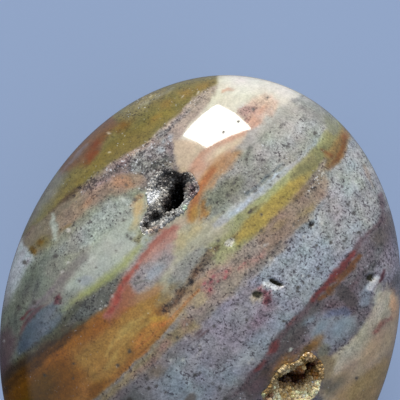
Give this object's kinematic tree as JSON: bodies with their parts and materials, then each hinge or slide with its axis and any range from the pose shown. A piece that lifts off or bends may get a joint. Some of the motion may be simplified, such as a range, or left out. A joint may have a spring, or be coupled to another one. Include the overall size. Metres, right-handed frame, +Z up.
{
  "type": "polished ocean jasper palm stone",
  "caption": "Polished egg-shaped jasper palm stone with crystal-lined hollows in its upper face, resting on a small ground flat spot.",
  "frame": {"origin": "centre of the ground flat spot underneath, which is the middle of the stone in plan", "axes": "+Y along the stone's length, +X across its width, +Z up, out of the face with the hollows"},
  "size_m": [0.0508, 0.064, 0.0315],
  "materials": {
    "jasper": "polished, banded and speckled in grey, lavender, orange, cream, olive and crimson",
    "smoky_quartz": "sugary crystals, grey-white at the rim and smoky black below",
    "honey_quartz": "sugary crystals, honey brown with cream tips"
  },
  "bodies": {
    "root": {"stone": "jasper", "smoky_crystal_crust": "smoky_quartz", "honey_crystal_crust": "honey_quartz"}
  },
  "joints": []
}
